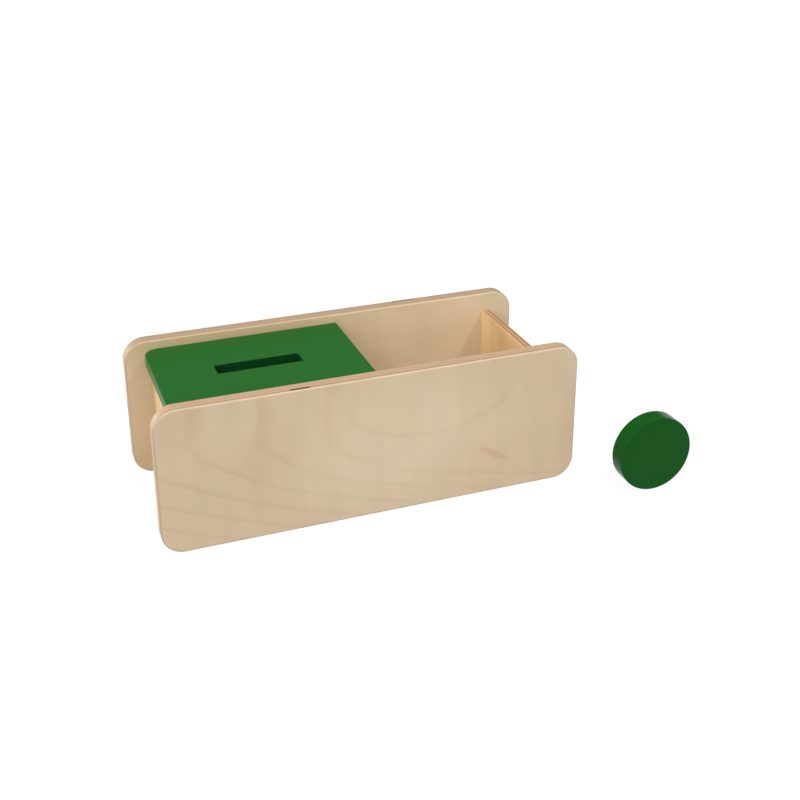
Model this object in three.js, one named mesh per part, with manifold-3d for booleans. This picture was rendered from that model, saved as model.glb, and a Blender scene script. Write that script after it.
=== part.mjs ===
// A toddler's coin posting box. Two long plywood side panels carry two end walls, a floor and a
// divider. A slotted lid covers one half of the box and flips over end for end, on two hidden pins,
// to cover the other half. A thick lacquered coin stands on its edge beside the box.
// Millimetres. +X runs along the box towards its open half, +Y towards the rear panel and +Z up.
// The origin is on the table, under the middle of the box.
import * as THREE from "three";
import { mergeVertices } from "three/addons/utils/BufferGeometryUtils.js";
import Module from "manifold-3d";

const wasm = await Module();
wasm.setup();

// Side panels
const boxLength = 350;
const panelHeight = 122;
const panelThickness = 12;
const panelCornerRadius = 18;
const panelArris = 1.5;
const panelSkin = 3.5; // wood left outside a blind bore

// Boards between the panels
const innerWidth = 120;
const boardThickness = 8.5;
const boardArris = 1;
const endWallDrop = 16.8; // from a panel's top edge down to the end wall's
const endWallInset = 20; // from a panel's end to the end wall's outer face
const glueLine = 0.1;

// Lid, measured from its hinge line over the middle of the box
const lidThickness = 10;
const lidReach = 160;
const lidTail = 7;
const lidCornerRadius = 12;
const lidTailRadius = 2;
const lidArris = 1;
const lidSideGap = 2;
const lidRestGap = 0.3; // between the lid and the end wall it lies on
const tailClearance = 2; // between the swinging tail and the divider

// Hinge pins, pressed into the lid and turning in the panels
const pinDiameter = 5;
const pinInLid = 20;
const pinChamfer = 0.5;
const pinRunningClearance = 0.15;

// Glue dowels
const dowelDiameter = 5;
const dowelInBoard = 16;
const dowelChamfer = 0.6;
const dowelMargin = 22; // from a wall's top or bottom edge to its dowel
const floorDowelMargin = 42; // from the floor's end to its outer dowel
const boreEndRoom = 0.5; // left past the end of a dowel or pin
const boreOvershoot = 1; // by which a bore's cutter stands out of the wood

// Coin, and the slot that it is posted through
const coinDiameter = 66;
const coinThickness = 14.5;
const coinArris = 0.7;
const coinX = 227.5;
const coinY = -110.6;
const slotEndClearance = 4;
const slotSideClearance = 2;
const slotCornerRadius = 2;

// Facets
const cornerSteps = 8;
const arrisSteps = 3;
const rodSides = 16;
const coinSides = 72;

// Places that follow from the sizes above
const panelFace = innerWidth / 2; // inner face of the rear panel; the front panel's is its mirror
const endWallHeight = panelHeight - endWallDrop;
const endWallX = boxLength / 2 - endWallInset - boardThickness / 2;
const boardWidth = innerWidth - 2 * glueLine;
const floorLength = 2 * (endWallX - boardThickness / 2 - glueLine);
const floorTop = boardThickness;
const floorDowelPitch = floorLength / 2 - floorDowelMargin;
const hingeHeight = endWallHeight + lidRestGap + lidThickness / 2;
const tailSweep = Math.hypot(lidTail, lidThickness / 2);
const dividerBottom = floorTop + glueLine;
const dividerTop = hingeHeight - tailSweep - tailClearance;
const lidWidth = innerWidth - 2 * lidSideGap;
const rodInPanel = panelThickness - panelSkin - boreEndRoom;

const plywood = new THREE.MeshStandardMaterial({ color: 0xd0b898, roughness: 0.6, metalness: 0 });
const dowelWood = new THREE.MeshStandardMaterial({ color: 0xd8b98c, roughness: 0.7, metalness: 0 });
const lidLacquer = new THREE.MeshStandardMaterial({ color: 0x2d6f2d, roughness: 0.3, metalness: 0 });
const coinLacquer = new THREE.MeshStandardMaterial({ color: 0x20561f, roughness: 0.2, metalness: 0 });
const steel = new THREE.MeshStandardMaterial({ color: 0xb9bcc0, roughness: 0.35, metalness: 1 });

// A closed geometry as a solid that can be joined and cut.
function solidOf(geometry) {
  const bare = geometry.clone();
  bare.deleteAttribute("normal");
  bare.deleteAttribute("uv");
  const merged = mergeVertices(bare, 1e-4);
  return new wasm.Manifold(
    new wasm.Mesh({
      numProp: 3,
      vertProperties: new Float32Array(merged.attributes.position.array),
      triVerts: new Uint32Array(merged.index.array),
    }),
  );
}

function geometryOf(solid) {
  const mesh = solid.getMesh();
  const geometry = new THREE.BufferGeometry();
  geometry.setAttribute("position", new THREE.BufferAttribute(mesh.vertProperties, 3));
  geometry.setIndex(new THREE.BufferAttribute(mesh.triVerts, 1));
  geometry.computeVertexNormals();
  return geometry;
}

function cut(geometry, bores) {
  const solid = bores.reduce((left, bore) => left.subtract(solidOf(bore)), solidOf(geometry));
  return geometryOf(solid);
}

// A rectangle from one corner to the other, with a radius at each end of its length.
function roundedRectangle(path, left, bottom, right, top, leftRadius, rightRadius) {
  path.moveTo(left + leftRadius, bottom);
  path.lineTo(right - rightRadius, bottom);
  path.absarc(right - rightRadius, bottom + rightRadius, rightRadius, -Math.PI / 2, 0, false);
  path.lineTo(right, top - rightRadius);
  path.absarc(right - rightRadius, top - rightRadius, rightRadius, 0, Math.PI / 2, false);
  path.lineTo(left + leftRadius, top);
  path.absarc(left + leftRadius, top - leftRadius, leftRadius, Math.PI / 2, Math.PI, false);
  path.lineTo(left, bottom + leftRadius);
  path.absarc(left + leftRadius, bottom + leftRadius, leftRadius, Math.PI, 1.5 * Math.PI, false);
  return path;
}

// A board of an outline, centred on its thickness, with all its arrises rounded over.
function easedBoard(outline, thickness, arris) {
  return new THREE.ExtrudeGeometry(outline, {
    depth: thickness - 2 * arris,
    curveSegments: cornerSteps,
    bevelThickness: arris,
    bevelSize: arris,
    bevelOffset: -arris,
    bevelSegments: arrisSteps,
  }).translate(0, 0, arris - thickness / 2);
}

// A round bore along Y, from one Y to the other.
function boreAlongY(diameter, x, fromY, toY, z) {
  const length = Math.abs(toY - fromY);
  const bore = new THREE.CylinderGeometry(diameter / 2, diameter / 2, length, rodSides);
  return bore.translate(x, (fromY + toY) / 2, z);
}

// A rod along Y with chamfered ends, centred on its length.
function chamferedRod(diameter, length, chamfer) {
  const profile = [
    new THREE.Vector2(0, -length / 2),
    new THREE.Vector2(diameter / 2 - chamfer, -length / 2),
    new THREE.Vector2(diameter / 2, chamfer - length / 2),
    new THREE.Vector2(diameter / 2, length / 2 - chamfer),
    new THREE.Vector2(diameter / 2 - chamfer, length / 2),
    new THREE.Vector2(0, length / 2),
  ];
  return new THREE.LatheGeometry(profile, rodSides);
}

function mesh(name, geometry, material, x, y, z) {
  const piece = new THREE.Mesh(geometry, material);
  piece.name = name;
  piece.position.set(x, y, z);
  return piece;
}

// Dowel places, the same on both panels.
function wallSeats(board, x, bottom, top) {
  return [
    { board, spot: "low", x, z: bottom + dowelMargin },
    { board, spot: "high", x, z: top - dowelMargin },
  ];
}

const floorSeats = ["left", "middle", "right"].map((spot, index) => {
  return { board: "floor", spot, x: (index - 1) * floorDowelPitch, z: boardThickness / 2 };
});

const dowelSeats = [
  ...wallSeats("left_wall", -endWallX, 0, endWallHeight),
  ...wallSeats("right_wall", endWallX, 0, endWallHeight),
  ...wallSeats("divider", 0, dividerBottom, dividerTop),
  ...floorSeats,
];

const sides = [
  { name: "front", sign: -1 },
  { name: "rear", sign: 1 },
];

// Side panel: rounded outline stood on its long edge, with blind bores in its inner face.
function sidePanel(side) {
  const outline = roundedRectangle(
    new THREE.Shape(),
    -boxLength / 2, 0, boxLength / 2, panelHeight,
    panelCornerRadius, panelCornerRadius,
  );
  const board = easedBoard(outline, panelThickness, panelArris).rotateX(Math.PI / 2);
  const innerFace = (-side.sign * panelThickness) / 2;
  const boreEnd = innerFace + side.sign * (rodInPanel + boreEndRoom);
  const boreMouth = innerFace - side.sign * boreOvershoot;
  const dowelBore = dowelDiameter + 2 * glueLine;
  const pinBore = pinDiameter + 2 * pinRunningClearance;
  const bores = dowelSeats.map((seat) => boreAlongY(dowelBore, seat.x, boreMouth, boreEnd, seat.z));
  bores.push(boreAlongY(pinBore, 0, boreMouth, boreEnd, hingeHeight));
  const y = side.sign * (panelFace + panelThickness / 2);
  return mesh(side.name + "_panel", cut(board, bores), plywood, 0, y, 0);
}

// Dowel bores in both side edges of a board that is centred on x and z.
function boardBores(board, x, z) {
  const diameter = dowelDiameter + 2 * glueLine;
  return dowelSeats
    .filter((seat) => seat.board === board)
    .flatMap((seat) =>
      sides.map((side) => {
        const mouth = side.sign * (boardWidth / 2 + boreOvershoot);
        const end = side.sign * (panelFace - dowelInBoard - boreEndRoom);
        return boreAlongY(diameter, seat.x - x, mouth, end, seat.z - z);
      }),
    );
}

// Upright board across the box, with its top arrises rounded over.
function crossWall(name, board, x, bottom, top) {
  const height = top - bottom;
  const across = boardThickness / 2;
  const section = new THREE.Shape();
  section.moveTo(-across, 0);
  section.lineTo(across, 0);
  section.lineTo(across, height - boardArris);
  section.absarc(across - boardArris, height - boardArris, boardArris, 0, Math.PI / 2, false);
  section.lineTo(boardArris - across, height);
  section.absarc(boardArris - across, height - boardArris, boardArris, Math.PI / 2, Math.PI, false);
  section.closePath();
  const wall = new THREE.ExtrudeGeometry(section, {
    depth: boardWidth,
    bevelEnabled: false,
    curveSegments: arrisSteps,
  });
  wall.rotateX(Math.PI / 2).translate(0, boardWidth / 2, 0);
  return mesh(name, cut(wall, boardBores(board, x, bottom)), plywood, x, 0, bottom);
}

function floorBoard() {
  const middle = boardThickness / 2;
  const board = new THREE.BoxGeometry(floorLength, boardWidth, boardThickness);
  return mesh("floor_board", cut(board, boardBores("floor", 0, middle)), plywood, 0, 0, middle);
}

// Glue dowels, each half in a panel and half in a board's edge.
function glueDowels() {
  const length = rodInPanel + dowelInBoard;
  const middle = panelFace + (rodInPanel - dowelInBoard) / 2;
  const geometry = chamferedRod(dowelDiameter, length, dowelChamfer);
  return sides.flatMap((side) =>
    dowelSeats.map((seat) => {
      const name = ["dowel", side.name, seat.board, seat.spot].join("_");
      return mesh(name, geometry, dowelWood, seat.x, side.sign * middle, seat.z);
    }),
  );
}

// Lid, in a frame on its hinge line: slotted board with a pin bore in each side edge.
function lidBoard() {
  const outline = roundedRectangle(
    new THREE.Shape(),
    -lidReach, -lidWidth / 2, lidTail, lidWidth / 2,
    lidCornerRadius, lidTailRadius,
  );
  const slotMiddle = (lidTail - lidReach) / 2;
  const slotHalfLength = (coinDiameter + slotEndClearance) / 2;
  const slotHalfWidth = (coinThickness + slotSideClearance) / 2;
  const slot = roundedRectangle(
    new THREE.Path(),
    slotMiddle - slotHalfLength, -slotHalfWidth, slotMiddle + slotHalfLength, slotHalfWidth,
    slotCornerRadius, slotCornerRadius,
  );
  outline.holes.push(slot);
  const pinBore = pinDiameter + 2 * glueLine;
  const bores = sides.map((side) => {
    const mouth = side.sign * (lidWidth / 2 + boreOvershoot);
    const end = side.sign * (lidWidth / 2 - pinInLid - boreEndRoom);
    return boreAlongY(pinBore, 0, mouth, end, 0);
  });
  return mesh("lid", cut(easedBoard(outline, lidThickness, lidArris), bores), lidLacquer, 0, 0, 0);
}

function lidPins() {
  const length = pinInLid + lidSideGap + rodInPanel;
  const middle = panelFace + rodInPanel - length / 2;
  const geometry = chamferedRod(pinDiameter, length, pinChamfer);
  return sides.map((side) => mesh("lid_pin_" + side.name, geometry, steel, 0, side.sign * middle, 0));
}

// Coin: a thick disc with rounded arrises, standing on its edge with its faces to front and rear.
function coin() {
  const radius = coinDiameter / 2;
  const half = coinThickness / 2;
  const profile = new THREE.Path();
  profile.moveTo(0, -half);
  profile.lineTo(radius - coinArris, -half);
  profile.absarc(radius - coinArris, coinArris - half, coinArris, -Math.PI / 2, 0, false);
  profile.lineTo(radius, half - coinArris);
  profile.absarc(radius - coinArris, half - coinArris, coinArris, 0, Math.PI / 2, false);
  profile.lineTo(0, half);
  const disc = new THREE.LatheGeometry(profile.getPoints(arrisSteps), coinSides);
  return mesh("coin", disc, coinLacquer, coinX, coinY, radius);
}

const hinge = new THREE.Group();
hinge.position.set(0, 0, hingeHeight);
hinge.add(lidBoard(), ...lidPins());

const box = new THREE.Group();
box.add(...sides.map(sidePanel));
box.add(crossWall("left_end_wall", "left_wall", -endWallX, 0, endWallHeight));
box.add(crossWall("right_end_wall", "right_wall", endWallX, 0, endWallHeight));
box.add(crossWall("centre_divider", "divider", 0, dividerBottom, dividerTop));
box.add(floorBoard(), ...glueDowels(), hinge);

const postingBox = new THREE.Group();
postingBox.add(box, coin());

export default postingBox;
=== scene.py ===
# Coin posting box: birch plywood sides, a green lid that flips over, and a green wooden coin.
from math import cos, pi, radians, sin

import bmesh
import bpy
from mathutils import Matrix, Vector


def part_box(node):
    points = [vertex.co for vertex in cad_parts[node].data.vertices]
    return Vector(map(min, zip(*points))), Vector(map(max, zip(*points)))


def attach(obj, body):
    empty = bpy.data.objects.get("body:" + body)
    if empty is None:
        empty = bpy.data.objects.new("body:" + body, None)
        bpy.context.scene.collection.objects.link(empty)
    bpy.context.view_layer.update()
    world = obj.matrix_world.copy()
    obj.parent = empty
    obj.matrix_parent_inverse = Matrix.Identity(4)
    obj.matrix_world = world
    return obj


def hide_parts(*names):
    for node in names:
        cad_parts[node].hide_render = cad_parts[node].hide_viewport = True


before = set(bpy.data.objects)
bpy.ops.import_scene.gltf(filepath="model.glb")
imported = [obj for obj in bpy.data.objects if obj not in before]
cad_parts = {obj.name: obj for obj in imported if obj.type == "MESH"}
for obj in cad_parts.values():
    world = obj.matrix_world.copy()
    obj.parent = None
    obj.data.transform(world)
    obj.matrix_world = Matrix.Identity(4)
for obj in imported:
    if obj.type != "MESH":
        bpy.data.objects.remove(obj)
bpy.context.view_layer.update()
mm = 0.001
print("frame loaded:", len(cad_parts), "nodes")


def toLinear(hexColour):
    channels = [int(hexColour[i:i + 2], 16) / 255 for i in (0, 2, 4)]
    linear = [c / 12.92 if c <= 0.04045 else ((c + 0.055) / 1.055) ** 2.4 for c in channels]
    return (*linear, 1)


def addNode(tree, kind, sockets, **settings):
    node = tree.nodes.new("ShaderNode" + kind)
    for name, value in settings.items():
        setattr(node, name, value)
    for socket, value in sockets.items():
        if isinstance(value, bpy.types.NodeSocket):
            tree.links.new(value, node.inputs[socket])
        else:
            node.inputs[socket].default_value = value
    return node.outputs


def newMaterial(name):
    material = bpy.data.materials.new(name)
    material.use_nodes = True
    tree = material.node_tree
    return material, tree, tree.nodes["Principled BSDF"]


# A colour Mix node holds its two colours and its result at these places
mixFirst, mixSecond, mixResult = 6, 7, 2


# Birch plywood: peeled veneer, sanded and sealed with a thin satin varnish. The broad faces are
# pale with faint hooked year lines; the edges show the plies, every second one as darker end grain.
panelSheet = {
    "faceWood": "D3BEA0",
    "yearLine": "BE9C7B",
    "rosyWood": "CCB292",
    "edgeWood": "B79D7E",
    "endGrain": "AF9172",
    "glueSeam": "A27C5B",
    "darkWood": "8F6A45",   # the ply that shows as a dark line along an edge
    "gapWood": "4A3423",    # the shaded inside of an open joint in that ply
    "lineAlong": 55,        # mm between year lines along and across the grain
    "lineAcross": 14,
    "lineTilt": -0.2,       # rise over run of the lines' long ends
    "lineStart": 0.78,      # in year lines
    "faintLine": 0.12,      # share of line colour where a line is weakest and strongest
    "strongLine": 0.4,
    "clearHeart": 1.7,      # year lines; the wood at the heart of the figure is plain
    "wanderAlong": 85,      # mm, size of the bends in the lines
    "wanderAcross": 34,
    "wander": 0.4,          # in year lines
    "driftSize": 70,        # mm, patches of warmer wood
    "fibreLength": 28,      # mm
    "fibreWidth": 0.9,
    "poreLength": 3.2,      # mm, drawn coarser than the real 0.1 mm pores so that they show
    "poreWidth": 0.35,
    "rippleWidth": 14,      # mm, bands across the grain
    "rippleTone": 0.025,    # share by which a band is darker or lighter
    "leafShift": (190, 87, 0),  # mm from one ply's figure to the next
    "lateWood": (0.6, 0.9, 0.98),  # where in a year its line begins, is darkest and ends
    "heartFade": 0.3,       # year lines
    "rosyShare": 0.8,
    "poreShare": 0.14,
    "seamShare": 0.1,       # of a ply
    "plyTone": 0.05,        # share by which one ply is darker or lighter than the next
    "gapReach": (0.55, 0.85),   # plies: middle of an open joint in the dark ply, and half its width
    "grainDepth": 0.03,     # mm
    "roughness": 0.5,
}

# Places on a sheet are in mm from the heart of its figure
frontSheet = {
    **panelSheet,
    "darkPly": 1,
    "coreGap": {"along": -137, "halfLength": 8},
    "eye": {"middle": (-27, 41, 0), "halfSize": (70, 28), "tilt": 4, "fade": 15, "ring": (0.8, 1.0, 1.05)},
    "woodAndLightPatches": [
        # Painted light: a paler area over the middle of the front panel's outer face, partly the veneer's own
        # tone
        {"middle": (-60, 14, 0), "halfSize": (125, 85), "tilt": 0, "wood": "E0CDB1", "share": 0.5},
        {"middle": (26, -16, 0), "halfSize": (22, 5), "tilt": -31, "wood": "C4946C", "share": 0.5},
    ],
}
rearSheet = {
    **panelSheet,
    "faceWood": "D3C1A2",
    "rosyWood": "CBB491",
    "edgeWood": "AB9276",
    "endGrain": "A38769",
    "lineAcross": 9,
    "faintLine": 0.0,
    "strongLine": 0.2,
    "lineTilt": 0.1,
    "wanderAlong": 60,
    "wanderAcross": 22,
    "wander": 2.2,
    "darkPly": 7,
    "coreGap": {"along": 374, "halfLength": 11},
    # Painted shade: a darker band along the upper part of the rear panel's inner face, partly the veneer's
    # own tone
    "woodAndLightPatches": [{"middle": (215, -76, 0), "halfSize": (165, 48), "tilt": 0, "wood": "BAA57C", "share": 0.9}],
}

# The boards between the panels are from a warmer sheet
wallSheet = {
    **panelSheet,
    "faceWood": "D4B182",
    "yearLine": "BE9462",
    "rosyWood": "CAA574",
    "edgeWood": "B99567",
    "endGrain": "A87C52",
    "glueSeam": "7E4B30",
    "strongLine": 0.3,
    "darkPly": 3,
    # Painted light: a paler upright band on the right end wall's inner face by the rear corner, partly the
    # veneer's own tone; on the other boards it falls outside the board
    "woodAndLightPatches": [{"middle": (-200, 200, 0), "halfSize": (45, 120), "tilt": 0, "wood": "E8CA99", "share": 0.8}],
}


# Distance from the middle of an oval, in its half sizes
def fromOval(tree, place, oval):
    halfSize = (1 / oval["halfSize"][0], 1 / oval["halfSize"][1], 0)
    away = addNode(tree, "VectorMath", {0: place, 1: oval["middle"]}, operation="SUBTRACT")[0]
    turned = addNode(tree, "VectorRotate", {"Vector": away, "Angle": radians(-oval["tilt"])},
                     rotation_type="Z_AXIS")[0]
    shares = addNode(tree, "VectorMath", {0: turned, 1: halfSize}, operation="MULTIPLY")[0]
    return addNode(tree, "VectorMath", {0: shares}, operation="LENGTH")["Value"]


def birchPlywood(name, look):
    material, tree, shader = newMaterial(name)
    sheet = addNode(tree, "Attribute", {}, attribute_name="veneer")["Vector"]
    facing = addNode(tree, "Attribute", {}, attribute_name="facing")["Vector"]
    ply = addNode(tree, "SeparateXYZ", {"Vector": sheet})["Z"]
    layer = addNode(tree, "Math", {0: ply}, operation="FLOOR")[0]
    crossPly = addNode(tree, "Math", {0: layer, 1: 2.0}, operation="MODULO")[0]

    # Each ply was peeled somewhere else, so its figure is shifted
    shift = addNode(tree, "VectorMath", {0: look["leafShift"], "Scale": layer}, operation="SCALE")[0]
    leaf = addNode(tree, "VectorMath", {0: sheet, 1: shift})[0]

    # Year lines: they start upright, left of the heart, and bend to run out along the board below it
    bendSize = (1 / look["wanderAlong"], 1 / look["wanderAcross"], 0)
    bendPlace = addNode(tree, "VectorMath", {0: leaf, 1: bendSize}, operation="MULTIPLY")[0]
    bend = addNode(tree, "TexNoise", {"Vector": bendPlace, "Scale": 1.0, "Detail": 3.0})[0]
    toLeft = (-1 / look["lineAlong"], 0, 0)
    toFoot = (look["lineTilt"] / look["lineAcross"], -1 / look["lineAcross"], 0)
    leftward = addNode(tree, "VectorMath", {0: leaf, 1: toLeft}, operation="DOT_PRODUCT")["Value"]
    downward = addNode(tree, "VectorMath", {0: leaf, 1: toFoot}, operation="DOT_PRODUCT")["Value"]
    hook = addNode(tree, "CombineXYZ", {"X": leftward, "Y": downward})[0]
    hook = addNode(tree, "VectorMath", {0: hook, 1: (0, 0, 0)}, operation="MAXIMUM")[0]
    fromHeart = addNode(tree, "VectorMath", {0: hook}, operation="LENGTH")["Value"]
    wander = addNode(tree, "MapRange", {"Value": bend, "To Min": look["lineStart"] - look["wander"] / 2,
                                        "To Max": look["lineStart"] + look["wander"] / 2})[0]
    year = addNode(tree, "Math", {0: fromHeart, 1: wander})[0]
    season = addNode(tree, "Math", {0: year}, operation="FRACT")[0]
    begins, darkest, ends = look["lateWood"]
    lineIn = addNode(tree, "MapRange", {"Value": season, "From Min": begins, "From Max": darkest},
                     interpolation_type="SMOOTHSTEP")[0]
    lineOut = addNode(tree, "MapRange", {"Value": season, "From Min": ends, "From Max": darkest},
                      interpolation_type="SMOOTHSTEP")[0]
    line = addNode(tree, "Math", {0: lineIn, 1: lineOut}, operation="MULTIPLY")[0]
    outside = addNode(tree, "MapRange", {"Value": fromHeart,
                                         "From Min": look["clearHeart"] - look["heartFade"],
                                         "From Max": look["clearHeart"] + look["heartFade"]})[0]
    line = addNode(tree, "Math", {0: line, 1: outside}, operation="MULTIPLY")[0]
    if "eye" in look:
        eye = look["eye"]
        ring = addNode(tree, "Math", {0: fromOval(tree, leaf, eye), 1: wander})[0]
        begins, darkest, ends = (look["lineStart"] + share for share in eye["ring"])
        ringIn = addNode(tree, "MapRange", {"Value": ring, "From Min": begins, "From Max": darkest},
                         interpolation_type="SMOOTHSTEP")[0]
        ringOut = addNode(tree, "MapRange", {"Value": ring, "From Min": ends, "From Max": darkest},
                          interpolation_type="SMOOTHSTEP")[0]
        ring = addNode(tree, "Math", {0: ringIn, 1: ringOut}, operation="MULTIPLY")[0]
        across = addNode(tree, "SeparateXYZ", {"Vector": leaf})["Y"]
        lowerHalf = addNode(tree, "MapRange", {"Value": across, "From Min": eye["middle"][1] + eye["fade"],
                                               "From Max": eye["middle"][1] - eye["fade"]})[0]
        ring = addNode(tree, "Math", {0: ring, 1: lowerHalf}, operation="MULTIPLY")[0]
        line = addNode(tree, "Math", {0: line, 1: ring}, operation="MAXIMUM")[0]
    lineStrength = addNode(tree, "MapRange", {"Value": bend, "From Min": 0.35, "From Max": 0.65,
                                              "To Min": look["faintLine"], "To Max": look["strongLine"]})[0]
    lineShare = addNode(tree, "Math", {0: line, 1: lineStrength}, operation="MULTIPLY")[0]
    driftPlace = addNode(tree, "VectorMath", {0: leaf, "Scale": 1 / look["driftSize"]},
                         operation="SCALE")[0]
    drift = addNode(tree, "TexNoise", {"Vector": driftPlace, "Scale": 1.0, "Detail": 2.0})[0]

    # Fibres and pores run along the grain of their own ply
    fibreSize = (1 / look["fibreLength"], 1 / look["fibreWidth"], 0.8)
    fibrePlace = addNode(tree, "VectorMath", {0: leaf, 1: fibreSize}, operation="MULTIPLY")[0]
    fibre = addNode(tree, "TexNoise", {"Vector": fibrePlace, "Scale": 1.0, "Detail": 2.0})[0]
    poreSize = (1 / look["poreLength"], 1 / look["poreWidth"], 2.0)
    porePlace = addNode(tree, "VectorMath", {0: leaf, 1: poreSize}, operation="MULTIPLY")[0]
    pore = addNode(tree, "TexNoise", {"Vector": porePlace, "Scale": 1.0, "Detail": 1.0})[0]
    poreShare = addNode(tree, "MapRange", {"Value": pore, "From Min": 0.62, "From Max": 0.75,
                                           "To Max": look["poreShare"]})[0]
    rippleSize = (1 / look["rippleWidth"], 1 / (6 * look["rippleWidth"]), 0)
    ripplePlace = addNode(tree, "VectorMath", {0: leaf, 1: rippleSize}, operation="MULTIPLY")[0]
    ripple = addNode(tree, "TexNoise", {"Vector": ripplePlace, "Scale": 1.0, "Detail": 1.0})[0]

    fibreDrift = addNode(tree, "Math", {0: fibre, 1: 0.5, 2: drift}, operation="MULTIPLY_ADD")[0]
    rosyShare = addNode(tree, "MapRange", {"Value": fibreDrift, "From Min": 0.5, "From Max": 1.0,
                                           "To Max": look["rosyShare"]})[0]
    wood = addNode(tree, "Mix", {0: rosyShare, mixFirst: toLinear(look["faceWood"]),
                                 mixSecond: toLinear(look["rosyWood"])}, data_type="RGBA")[mixResult]
    wood = addNode(tree, "Mix", {0: lineShare, mixFirst: wood,
                                 mixSecond: toLinear(look["yearLine"])}, data_type="RGBA")[mixResult]
    wood = addNode(tree, "Mix", {0: poreShare, mixFirst: wood,
                                 mixSecond: toLinear(look["yearLine"])}, data_type="RGBA")[mixResult]
    # Patches of another colour: the dark streak is the wood's own, the others are painted light and shade
    # over the veneer's own tone
    for patch in look.get("woodAndLightPatches", ()):
        share = addNode(tree, "MapRange", {"Value": fromOval(tree, leaf, patch), "From Min": 1.0,
                                           "From Max": 0.2, "To Max": patch["share"]},
                        interpolation_type="SMOOTHSTEP")[0]
        wood = addNode(tree, "Mix", {0: share, mixFirst: wood, mixSecond: toLinear(patch["wood"])},
                       data_type="RGBA")[mixResult]
    rippleGain = addNode(tree, "MapRange", {"Value": ripple, "From Min": 0.3, "From Max": 0.7,
                                            "To Min": 1 - look["rippleTone"],
                                            "To Max": 1 + look["rippleTone"]})[0]
    wood = addNode(tree, "VectorMath", {0: wood, "Scale": rippleGain}, operation="SCALE")[0]

    # Edges: end grain where the surface cuts across the ply's own grain
    away = addNode(tree, "VectorMath", {0: facing}, operation="ABSOLUTE")[0]
    away = addNode(tree, "SeparateXYZ", {"Vector": away})
    onEdge = addNode(tree, "MapRange", {"Value": away["Z"], "From Min": 0.9, "From Max": 0.6})[0]
    endCut = addNode(tree, "Mix", {0: crossPly, 2: away["X"], 3: away["Y"]})[0]
    edge = addNode(tree, "Mix", {0: onEdge, mixFirst: wood, mixSecond: toLinear(look["edgeWood"])},
                   data_type="RGBA")[mixResult]
    edge = addNode(tree, "Mix", {0: endCut, mixFirst: edge, mixSecond: toLinear(look["endGrain"])},
                   data_type="RGBA")[mixResult]
    depth = addNode(tree, "Math", {0: ply, 1: 1.0}, operation="PINGPONG")[0]
    seam = addNode(tree, "MapRange", {"Value": depth, "From Min": look["seamShare"], "From Max": 0.0})[0]
    seamShare = addNode(tree, "Math", {0: seam, 1: onEdge}, operation="MULTIPLY")[0]
    plyTone = addNode(tree, "TexWhiteNoise", {"W": layer}, noise_dimensions="1D")["Value"]
    toneGain = addNode(tree, "MapRange", {"Value": plyTone, "To Min": 1 - look["plyTone"],
                                          "To Max": 1 + look["plyTone"]})[0]
    toned = addNode(tree, "VectorMath", {0: edge, "Scale": toneGain}, operation="SCALE")[0]
    edge = addNode(tree, "Mix", {0: onEdge, mixFirst: edge, mixSecond: toned}, data_type="RGBA")[mixResult]
    edge = addNode(tree, "Mix", {0: seamShare, mixFirst: edge, mixSecond: toLinear(look["glueSeam"])},
                   data_type="RGBA")[mixResult]

    # One ply is darker, in patches along the edge; an open joint in it shows as a dark gap
    inDarkPly = addNode(tree, "Math", {0: layer, 1: look["darkPly"], 2: 0.5}, operation="COMPARE")[0]
    inDarkPly = addNode(tree, "Math", {0: inDarkPly, 1: onEdge}, operation="MULTIPLY")[0]
    darkness = addNode(tree, "MapRange", {"Value": drift, "From Min": 0.3, "From Max": 0.7,
                                          "To Min": 0.45, "To Max": 1.0})[0]
    darkShare = addNode(tree, "Math", {0: inDarkPly, 1: darkness}, operation="MULTIPLY")[0]
    edge = addNode(tree, "Mix", {0: darkShare, mixFirst: edge, mixSecond: toLinear(look["darkWood"])},
                   data_type="RGBA")[mixResult]
    if "coreGap" in look:
        along = addNode(tree, "SeparateXYZ", {"Vector": sheet})["X"]
        gap = addNode(tree, "Math", {0: along, 1: look["coreGap"]["along"],
                                     2: look["coreGap"]["halfLength"]}, operation="COMPARE")[0]
        middle, halfWidth = look["gapReach"]
        nearPly = addNode(tree, "Math", {0: ply, 1: look["darkPly"] + middle, 2: halfWidth},
                          operation="COMPARE")[0]
        gapShare = addNode(tree, "Math", {0: nearPly, 1: gap}, operation="MULTIPLY")[0]
        gapShare = addNode(tree, "Math", {0: gapShare, 1: onEdge}, operation="MULTIPLY")[0]
        edge = addNode(tree, "Mix", {0: gapShare, mixFirst: edge, mixSecond: toLinear(look["gapWood"])},
                       data_type="RGBA")[mixResult]

    height = addNode(tree, "Math", {0: fibre, 1: pore, 2: 0.5}, operation="MULTIPLY_ADD")[0]
    bump = addNode(tree, "Bump", {"Height": height, "Distance": look["grainDepth"] * mm, "Strength": 0.6})[0]
    tree.links.new(edge, shader.inputs["Base Color"])
    tree.links.new(bump, shader.inputs["Normal"])
    shader.inputs["Roughness"].default_value = look["roughness"]
    shader.inputs["IOR"].default_value = 1.5
    return material


# Green nursery enamel: on the lid a sprayed satin film with faint orange peel; on the coin a dipped,
# thicker film that is glossier
lidLook = {
    "green": "1B5C1D",
    "slotShadeGreen": "0B3A16",  # painted shade: the slot's inner walls are a darker green for the shade inside the narrow slot
    "specular": 0.08,
    "roughness": 0.35,
    "peelSize": 1.6,        # mm
    "peelDepth": 0.004,
}
coinLook = {"green": "135219", "specular": 0.06, "roughness": 0.1, "peelSize": 2.4, "peelDepth": 0.004}


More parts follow.
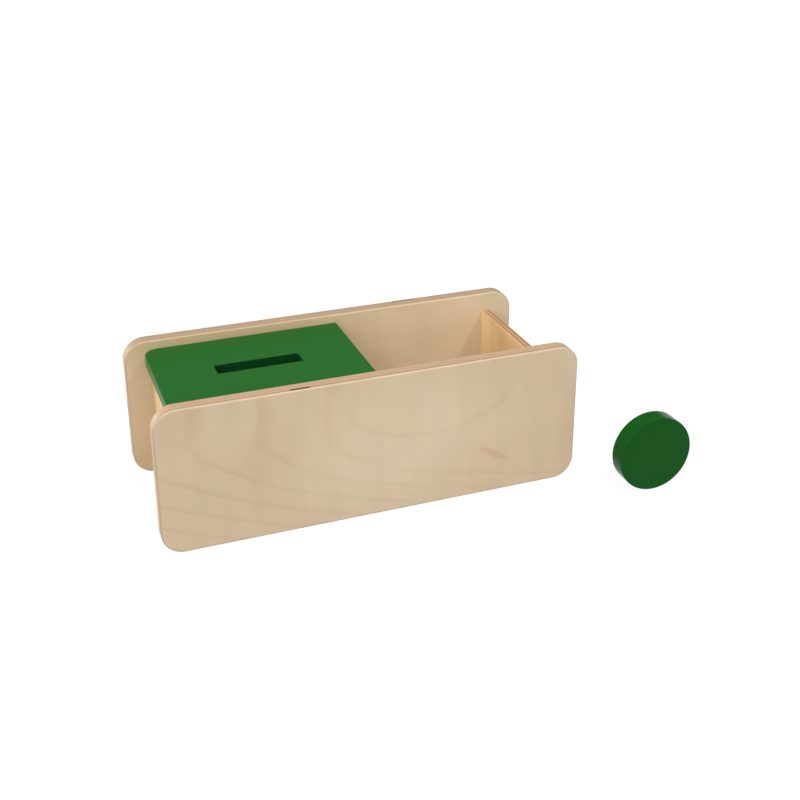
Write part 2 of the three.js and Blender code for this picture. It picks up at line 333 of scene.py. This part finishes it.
def greenEnamel(name, look):
    material, tree, shader = newMaterial(name)
    place = addNode(tree, "TexCoord", {})["Object"]
    peel = addNode(tree, "TexNoise", {"Vector": place, "Scale": 1 / (look["peelSize"] * mm)})[0]
    bump = addNode(tree, "Bump", {"Height": peel, "Distance": look["peelDepth"] * mm})[0]
    tree.links.new(bump, shader.inputs["Normal"])
    shader.inputs["Base Color"].default_value = toLinear(look["green"])
    # Painted shade: the faces of the slot's inner walls take a darker green
    if "slotShadeGreen" in look:
        slotShadeMask = addNode(tree, "Attribute", {}, attribute_name="slotShadeMask")["Fac"]
        green = addNode(tree, "Mix", {0: slotShadeMask, mixFirst: toLinear(look["green"]),
                                      mixSecond: toLinear(look["slotShadeGreen"])}, data_type="RGBA")[mixResult]
        tree.links.new(green, shader.inputs["Base Color"])
    shader.inputs["Roughness"].default_value = look["roughness"]
    shader.inputs["Specular IOR Level"].default_value = look["specular"]
    return material


# Drawn steel rod: bright, with fine rings left by turning
pinLook = {"steel": "C4C6C8", "roughness": 0.3, "ringPitch": 0.4, "ringDepth": 0.005}


def drawnSteel():
    material, tree, shader = newMaterial("bright_drawn_steel")
    place = addNode(tree, "TexCoord", {})["Object"]
    rings = addNode(tree, "TexWave", {"Vector": place, "Scale": 1 / (pinLook["ringPitch"] * mm)},
                    bands_direction="Y")[1]
    bump = addNode(tree, "Bump", {"Height": rings, "Distance": pinLook["ringDepth"] * mm})[0]
    tree.links.new(bump, shader.inputs["Normal"])
    shader.inputs["Base Color"].default_value = toLinear(pinLook["steel"])
    shader.inputs["Metallic"].default_value = 1
    shader.inputs["Roughness"].default_value = pinLook["roughness"]
    return material


# Turned beech dowel rod: plain sawn colour with short dark flecks along the rod
dowelLook = {"beech": "D8B98C", "fleck": "A67C52", "fleckLength": 4, "fleckWidth": 0.5, "roughness": 0.7}


def turnedBeech():
    material, tree, shader = newMaterial("turned_beech_dowel")
    place = addNode(tree, "TexCoord", {})["Object"]
    size = (1 / (dowelLook["fleckWidth"] * mm), 1 / (dowelLook["fleckLength"] * mm),
            1 / (dowelLook["fleckWidth"] * mm))
    stretched = addNode(tree, "VectorMath", {0: place, 1: size}, operation="MULTIPLY")[0]
    fleck = addNode(tree, "TexNoise", {"Vector": stretched, "Scale": 1.0})[0]
    share = addNode(tree, "MapRange", {"Value": fleck, "From Min": 0.5, "From Max": 0.8})[0]
    wood = addNode(tree, "Mix", {0: share, mixFirst: toLinear(dowelLook["beech"]),
                                 mixSecond: toLinear(dowelLook["fleck"])}, data_type="RGBA")[mixResult]
    tree.links.new(wood, shader.inputs["Base Color"])
    shader.inputs["Roughness"].default_value = dowelLook["roughness"]
    return material


frontPlywood = birchPlywood("birch_plywood_front_varnished", frontSheet)
rearPlywood = birchPlywood("birch_plywood_rear_varnished", rearSheet)
wallPlywood = birchPlywood("birch_plywood_warm_varnished", wallSheet)
print("materials made")


# A loop round a rectangle, corner by corner; radii are those at its low and high end
def roundedLoop(low, high, radii, inset, steps):
    loop = []
    for quarter, (atHighU, atHighV) in enumerate(((1, 0), (1, 1), (0, 1), (0, 0))):
        radius = radii[atHighU]
        middleU = high[0] - radius if atHighU else low[0] + radius
        middleV = high[1] - radius if atHighV else low[1] + radius
        count = steps if radius else 0
        for step in range(count + 1):
            angle = (quarter - 1 + step / max(count, 1)) * pi / 2
            loop.append((middleU + (radius - inset) * cos(angle), middleV + (radius - inset) * sin(angle)))
    return loop


# Inset and height of each loop, from one broad face over its rounded arris to the other
def arrisProfile(thickness, arris, steps):
    angles = [step / steps * pi / 2 for step in range(steps + 1)]
    upper = [(arris * (1 - sin(a)), thickness / 2 - arris * (1 - cos(a))) for a in angles]
    return upper + [(inset, -height) for inset, height in reversed(upper)]


# Skins a stack of matching loops. A slot's loops turn it into one closed ring of skin
def loft(name, rings, slotRings=()):
    made = bmesh.new()
    stack = [[made.verts.new(point) for point in ring] for ring in (*rings, *reversed(slotRings))]
    if slotRings:
        stack.append(stack[0])
    else:
        made.faces.new(stack[0])
        made.faces.new(stack[-1])
    for lower, upper in zip(stack, stack[1:]):
        for i in range(len(lower)):
            j = (i + 1) % len(lower)
            made.faces.new((lower[i], lower[j], upper[j], upper[i]))
    bmesh.ops.recalc_face_normals(made, faces=made.faces)
    piece = bpy.data.objects.new(name, bpy.data.meshes.new(name))
    made.to_mesh(piece.data)
    made.free()
    bpy.context.scene.collection.objects.link(piece)
    return piece


# A board's own axes, as the places of along, across and through in a world point
def inWorld(axes, along, across, through):
    point = [0, 0, 0]
    for axis, value in zip(axes, (along, across, through)):
        point[axis] = value
    return point


def easedBoard(name, node, axes, radii, arris, cornerSteps, arrisSteps, slot=None):
    low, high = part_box(node)
    lowFlat = [low[axis] for axis in axes[:2]]
    highFlat = [high[axis] for axis in axes[:2]]
    middle = (low[axes[2]] + high[axes[2]]) / 2
    profile = arrisProfile(high[axes[2]] - low[axes[2]], arris, arrisSteps)

    def stackOf(lowUV, highUV, loopRadii, side):
        return [
            [inWorld(axes, u, v, middle + height)
             for u, v in roundedLoop(lowUV, highUV, loopRadii, side * inset, cornerSteps)]
            for inset, height in profile
        ]

    rings = stackOf(lowFlat, highFlat, radii, 1)
    slotRings = stackOf(slot["low"], slot["high"], slot["radii"], -1) if slot else ()
    return loft(name, rings, slotRings)


# Rods for the blind bores, a little wider and longer than the dowels and pins that they hold
boreRoom = {"side": 0.1 * mm, "end": 0.5 * mm, "sides": 32}


def makeBoreTool():
    made = bmesh.new()
    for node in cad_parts:
        if not node.startswith(("dowel", "lid_pin")):
            continue
        low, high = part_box(node)
        radius = (high.z - low.z) / 2 + boreRoom["side"]
        turn = Matrix.Translation((low + high) / 2) @ Matrix.Rotation(pi / 2, 4, "X")
        bmesh.ops.create_cone(made, cap_ends=True, segments=boreRoom["sides"], radius1=radius,
                              radius2=radius, depth=high.y - low.y + 2 * boreRoom["end"], matrix=turn)
    tool = bpy.data.objects.new("boreTool", bpy.data.meshes.new("boreTool"))
    made.to_mesh(tool.data)
    made.free()
    bpy.context.scene.collection.objects.link(tool)
    return tool


def bore(piece, tool):
    cut = piece.modifiers.new("bores", "BOOLEAN")
    cut.object = tool
    cut.solver = "EXACT"
    bored = piece.evaluated_get(bpy.context.evaluated_depsgraph_get())
    piece.data = bpy.data.meshes.new_from_object(bored)
    piece.modifiers.clear()


def smooth(piece, sharpAngle=radians(40)):
    piece.data.shade_smooth()
    piece.data.set_sharp_from_angle(angle=sharpAngle)
    flats = piece.modifiers.new("flats", "WEIGHTED_NORMAL")
    flats.keep_sharp = True
    flats.weight = 100


# Where each point lies in its sheet of plywood: mm from the heart of the figure, and plies through
def layVeneer(piece, node, axes, plies, heart):
    low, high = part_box(node)
    thickness = high[axes[2]] - low[axes[2]]
    skin = 0.01  # keeps both faces inside their outer ply
    places = []
    for vertex in piece.data.vertices:
        along, across, through = (vertex.co[axis] for axis in axes)
        share = (through - low[axes[2]]) / thickness
        places += [along / mm - heart[0], across / mm - heart[1], skin + share * (plies - 2 * skin)]
    veneer = piece.data.attributes.new("veneer", "FLOAT_VECTOR", "POINT")
    veneer.data.foreach_set("vector", places)
    facings = [face.normal[axis] for face in piece.data.polygons for axis in axes]
    facing = piece.data.attributes.new("facing", "FLOAT_VECTOR", "FACE")
    facing.data.foreach_set("vector", facings)


def fit(piece, node, body, material):
    piece.data.materials.clear()
    piece.data.materials.append(material)
    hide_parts(node)
    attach(piece, body)


tool = makeBoreTool()

# Side panels: rounded boards on their long edges; the heart of the front one's figure shows
panels = {
    "cornerRadius": 18 * mm,
    "arris": 1.5 * mm,
    "plies": 9,
    "axes": (0, 2, 1),
    "sheets": {"front_panel": ((75, 51), frontPlywood), "rear_panel": ((-300, 200), rearPlywood)},
    "cornerSteps": 24,
    "arrisSteps": 6,
}
for node, (heart, plywood) in panels["sheets"].items():
    piece = easedBoard(node + "_birch", node, panels["axes"], (panels["cornerRadius"],) * 2,
                       panels["arris"], panels["cornerSteps"], panels["arrisSteps"])
    bore(piece, tool)
    smooth(piece)
    layVeneer(piece, node, panels["axes"], panels["plies"], heart)
    fit(piece, node, "box", plywood)
print("side panels made")

# Upright boards across the box; their top arrises are rounded
walls = {
    "arris": 1 * mm,
    "plies": 5,
    "axes": (1, 2, 0),
    "hearts": {"left_end_wall": (-300, 210), "right_end_wall": (260, -120), "centre_divider": (410, 300)},
    "arrisSteps": 6,
}
for node, heart in walls["hearts"].items():
    low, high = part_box(node)
    section = roundedLoop((low.z, low.x), (high.z, high.x), (0, walls["arris"]), 0, walls["arrisSteps"])
    rings = [[(x, y, z) for z, x in section] for y in (low.y, high.y)]
    piece = loft(node + "_birch", rings)
    bore(piece, tool)
    smooth(piece)
    layVeneer(piece, node, walls["axes"], walls["plies"], heart)
    fit(piece, node, "box", wallPlywood)
print("end walls and divider made")

floorBoard = {
    "cornerRadius": 1 * mm,
    "arris": 0.4 * mm,
    "plies": 5,
    "axes": (0, 1, 2),
    "heart": (520, -160),
    "cornerSteps": 4,
    "arrisSteps": 3,
}
piece = easedBoard("floor_board_birch", "floor_board", floorBoard["axes"],
                   (floorBoard["cornerRadius"],) * 2, floorBoard["arris"],
                   floorBoard["cornerSteps"], floorBoard["arrisSteps"])
bore(piece, tool)
smooth(piece)
layVeneer(piece, "floor_board", floorBoard["axes"], floorBoard["plies"], floorBoard["heart"])
fit(piece, "floor_board", "box", wallPlywood)
print("floor board made")

# Lid: the slot lies in the middle of it
lid = {
    "radii": (12 * mm, 2 * mm),
    "arris": 1 * mm,
    "axes": (0, 1, 2),
    "slotLength": 70 * mm,
    "slotWidth": 16.5 * mm,
    "slotRadius": 2 * mm,
    "cornerSteps": 16,
    "arrisSteps": 6,
}
low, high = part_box("lid")
slotMiddle = (low + high) / 2
slot = {
    "low": (slotMiddle.x - lid["slotLength"] / 2, slotMiddle.y - lid["slotWidth"] / 2),
    "high": (slotMiddle.x + lid["slotLength"] / 2, slotMiddle.y + lid["slotWidth"] / 2),
    "radii": (lid["slotRadius"],) * 2,
}
piece = easedBoard("lid_enamelled", "lid", lid["axes"], lid["radii"], lid["arris"],
                   lid["cornerSteps"], lid["arrisSteps"], slot)
bore(piece, tool)
smooth(piece)
# The slot's inner walls, marked for the painted shade
slotShadeWalls = [
    float(abs(face.normal.z) < 0.5 and all(slot["low"][i] - lid["arris"] < face.center[i]
                                           < slot["high"][i] + lid["arris"] for i in (0, 1)))
    for face in piece.data.polygons
]
piece.data.attributes.new("slotShadeMask", "FLOAT", "FACE").data.foreach_set("value", slotShadeWalls)
fit(piece, "lid", "lid", greenEnamel("satin_green_enamel_sprayed", lidLook))
print("lid made")

bpy.data.objects.remove(tool)


# A round piece along Y, from its profile of radius and distance
def turned(name, middle, profile, sides):
    angles = [2 * pi * side / sides for side in range(sides)]
    rings = [
        [(middle.x + radius * cos(a), middle.y + y, middle.z + radius * sin(a)) for a in angles]
        for radius, y in profile
    ]
    return loft(name, rings)


pins = {"chamfer": 0.5 * mm, "sides": 48}
steel = drawnSteel()
for node in ("lid_pin_front", "lid_pin_rear"):
    low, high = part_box(node)
    radius = (high.z - low.z) / 2
    half = (high.y - low.y) / 2
    narrow = radius - pins["chamfer"]
    profile = ((narrow, -half), (radius, pins["chamfer"] - half), (radius, half - pins["chamfer"]),
               (narrow, half))
    piece = turned(node + "_steel", (low + high) / 2, profile, pins["sides"])
    smooth(piece)
    fit(piece, node, "lid", steel)

coin = {"arris": 0.7 * mm, "arrisSteps": 8, "sides": 160}
low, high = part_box("coin")
radius = (high.z - low.z) / 2
profile = [(radius - inset, height)
           for inset, height in arrisProfile(high.y - low.y, coin["arris"], coin["arrisSteps"])]
piece = turned("coin_enamelled", (low + high) / 2, profile, coin["sides"])
smooth(piece)
fit(piece, "coin", "coin", greenEnamel("gloss_green_enamel_dipped", coinLook))

beech = turnedBeech()
for node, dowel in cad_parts.items():
    if node.startswith("dowel"):
        dowel.data.materials.clear()
        dowel.data.materials.append(beech)
print("pins, coin and dowels made")

# Studio: a pale floor that the camera sees as white, a dim room with a white foot, soft lamps
studio = {
    "floorSize": 30.0,
    "floorGrey": 0.12,
    "floorGlow": 0.9,
    "sweepTop": sin(radians(10)),
    "roomStart": sin(radians(18)),
    "room": 0.2,
    "lamps": {
        "keyLamp": {"from": (0.44, -0.4, 0.81), "angle": 9, "strength": 1.25},
        "sideLamp": {"from": (-0.57, -0.66, 0.49), "angle": 16, "strength": 0.7},
        "frontLamp": {"from": (-0.1, -0.6, 0.79), "angle": 50, "strength": 1.2},
        "topLamp": {"from": (0, 0, 1), "angle": 90, "strength": 0.6},
        "leftLamp": {"from": (-0.92, -0.2, 0.34), "angle": 25, "strength": 1.0},
        "backLamp": {"from": (-0.75, 0.64, 0.17), "angle": 20, "strength": 1.9},
    },
}


def paleFloor():
    material, tree, shader = newMaterial("pale_matt_floor")
    grey = (studio["floorGrey"],) * 3 + (1,)
    tree.nodes.remove(shader)
    matt = addNode(tree, "BsdfDiffuse", {"Color": grey})[0]
    ray = addNode(tree, "LightPath", {})
    seen = addNode(tree, "Math", {0: ray["Is Camera Ray"], 1: ray["Is Glossy Ray"]}, operation="MAXIMUM")[0]
    seen = addNode(tree, "Math", {0: seen, 1: ray["Is Transmission Ray"]}, operation="MAXIMUM")[0]
    glowShare = addNode(tree, "Math", {0: seen, 1: studio["floorGlow"]}, operation="MULTIPLY")[0]
    glow = addNode(tree, "Emission", {"Strength": glowShare})[0]
    both = addNode(tree, "AddShader", {0: matt, 1: glow})[0]
    tree.links.new(both, tree.nodes["Material Output"].inputs["Surface"])
    return material


reach = studio["floorSize"] / 2
floorMesh = bpy.data.meshes.new("studioFloor")
floorMesh.from_pydata([(-reach, -reach, 0), (reach, -reach, 0), (reach, reach, 0), (-reach, reach, 0)],
                      [], [(0, 1, 2, 3)])
floor = bpy.data.objects.new("studioFloor", floorMesh)
bpy.context.scene.collection.objects.link(floor)
floorMesh.materials.append(paleFloor())

world = bpy.data.worlds.new("studioRoom")
world.use_nodes = True
bpy.context.scene.world = world
tree = world.node_tree
direction = addNode(tree, "TexCoord", {})["Generated"]
upward = addNode(tree, "SeparateXYZ", {"Vector": direction})["Z"]
roomLight = addNode(tree, "MapRange", {"Value": upward, "From Min": studio["sweepTop"],
                                       "From Max": studio["roomStart"], "To Min": 1.0,
                                       "To Max": studio["room"]}, interpolation_type="SMOOTHSTEP")[0]
tree.links.new(roomLight, tree.nodes["Background"].inputs["Strength"])
tree.nodes["Background"].inputs["Color"].default_value = (1, 1, 1, 1)

for name, lamp in studio["lamps"].items():
    light = bpy.data.lights.new(name, "SUN")
    light.energy = lamp["strength"]
    light.angle = radians(lamp["angle"])
    holder = bpy.data.objects.new(name, light)
    holder.rotation_euler = Vector(lamp["from"]).to_track_quat("Z", "Y").to_euler()
    bpy.context.scene.collection.objects.link(holder)

# Camera close to where the photograph was taken, with its shift kept small
view = {
    "eye": (-0.27867, -0.87431, 0.52881),
    "forward": (0.33151, 0.86593, -0.37453),
    "roll": 0.074,
    "lens": 54.662,
    "sensor": 36,
    "shift": (-0.0156, -0.1244),
}
camera = bpy.data.objects.new("camera", bpy.data.cameras.new("camera"))
camera.data.lens = view["lens"]
camera.data.sensor_width = view["sensor"]
camera.data.shift_x, camera.data.shift_y = view["shift"]
camera.location = view["eye"]
aim = Vector(view["forward"]).to_track_quat("-Z", "Y").to_matrix()
camera.rotation_euler = (aim @ Matrix.Rotation(radians(view["roll"]), 3, "Z")).to_euler()
bpy.context.scene.collection.objects.link(camera)
bpy.context.scene.camera = camera
bpy.context.scene.view_settings.view_transform = "Standard"
print("studio and camera made")
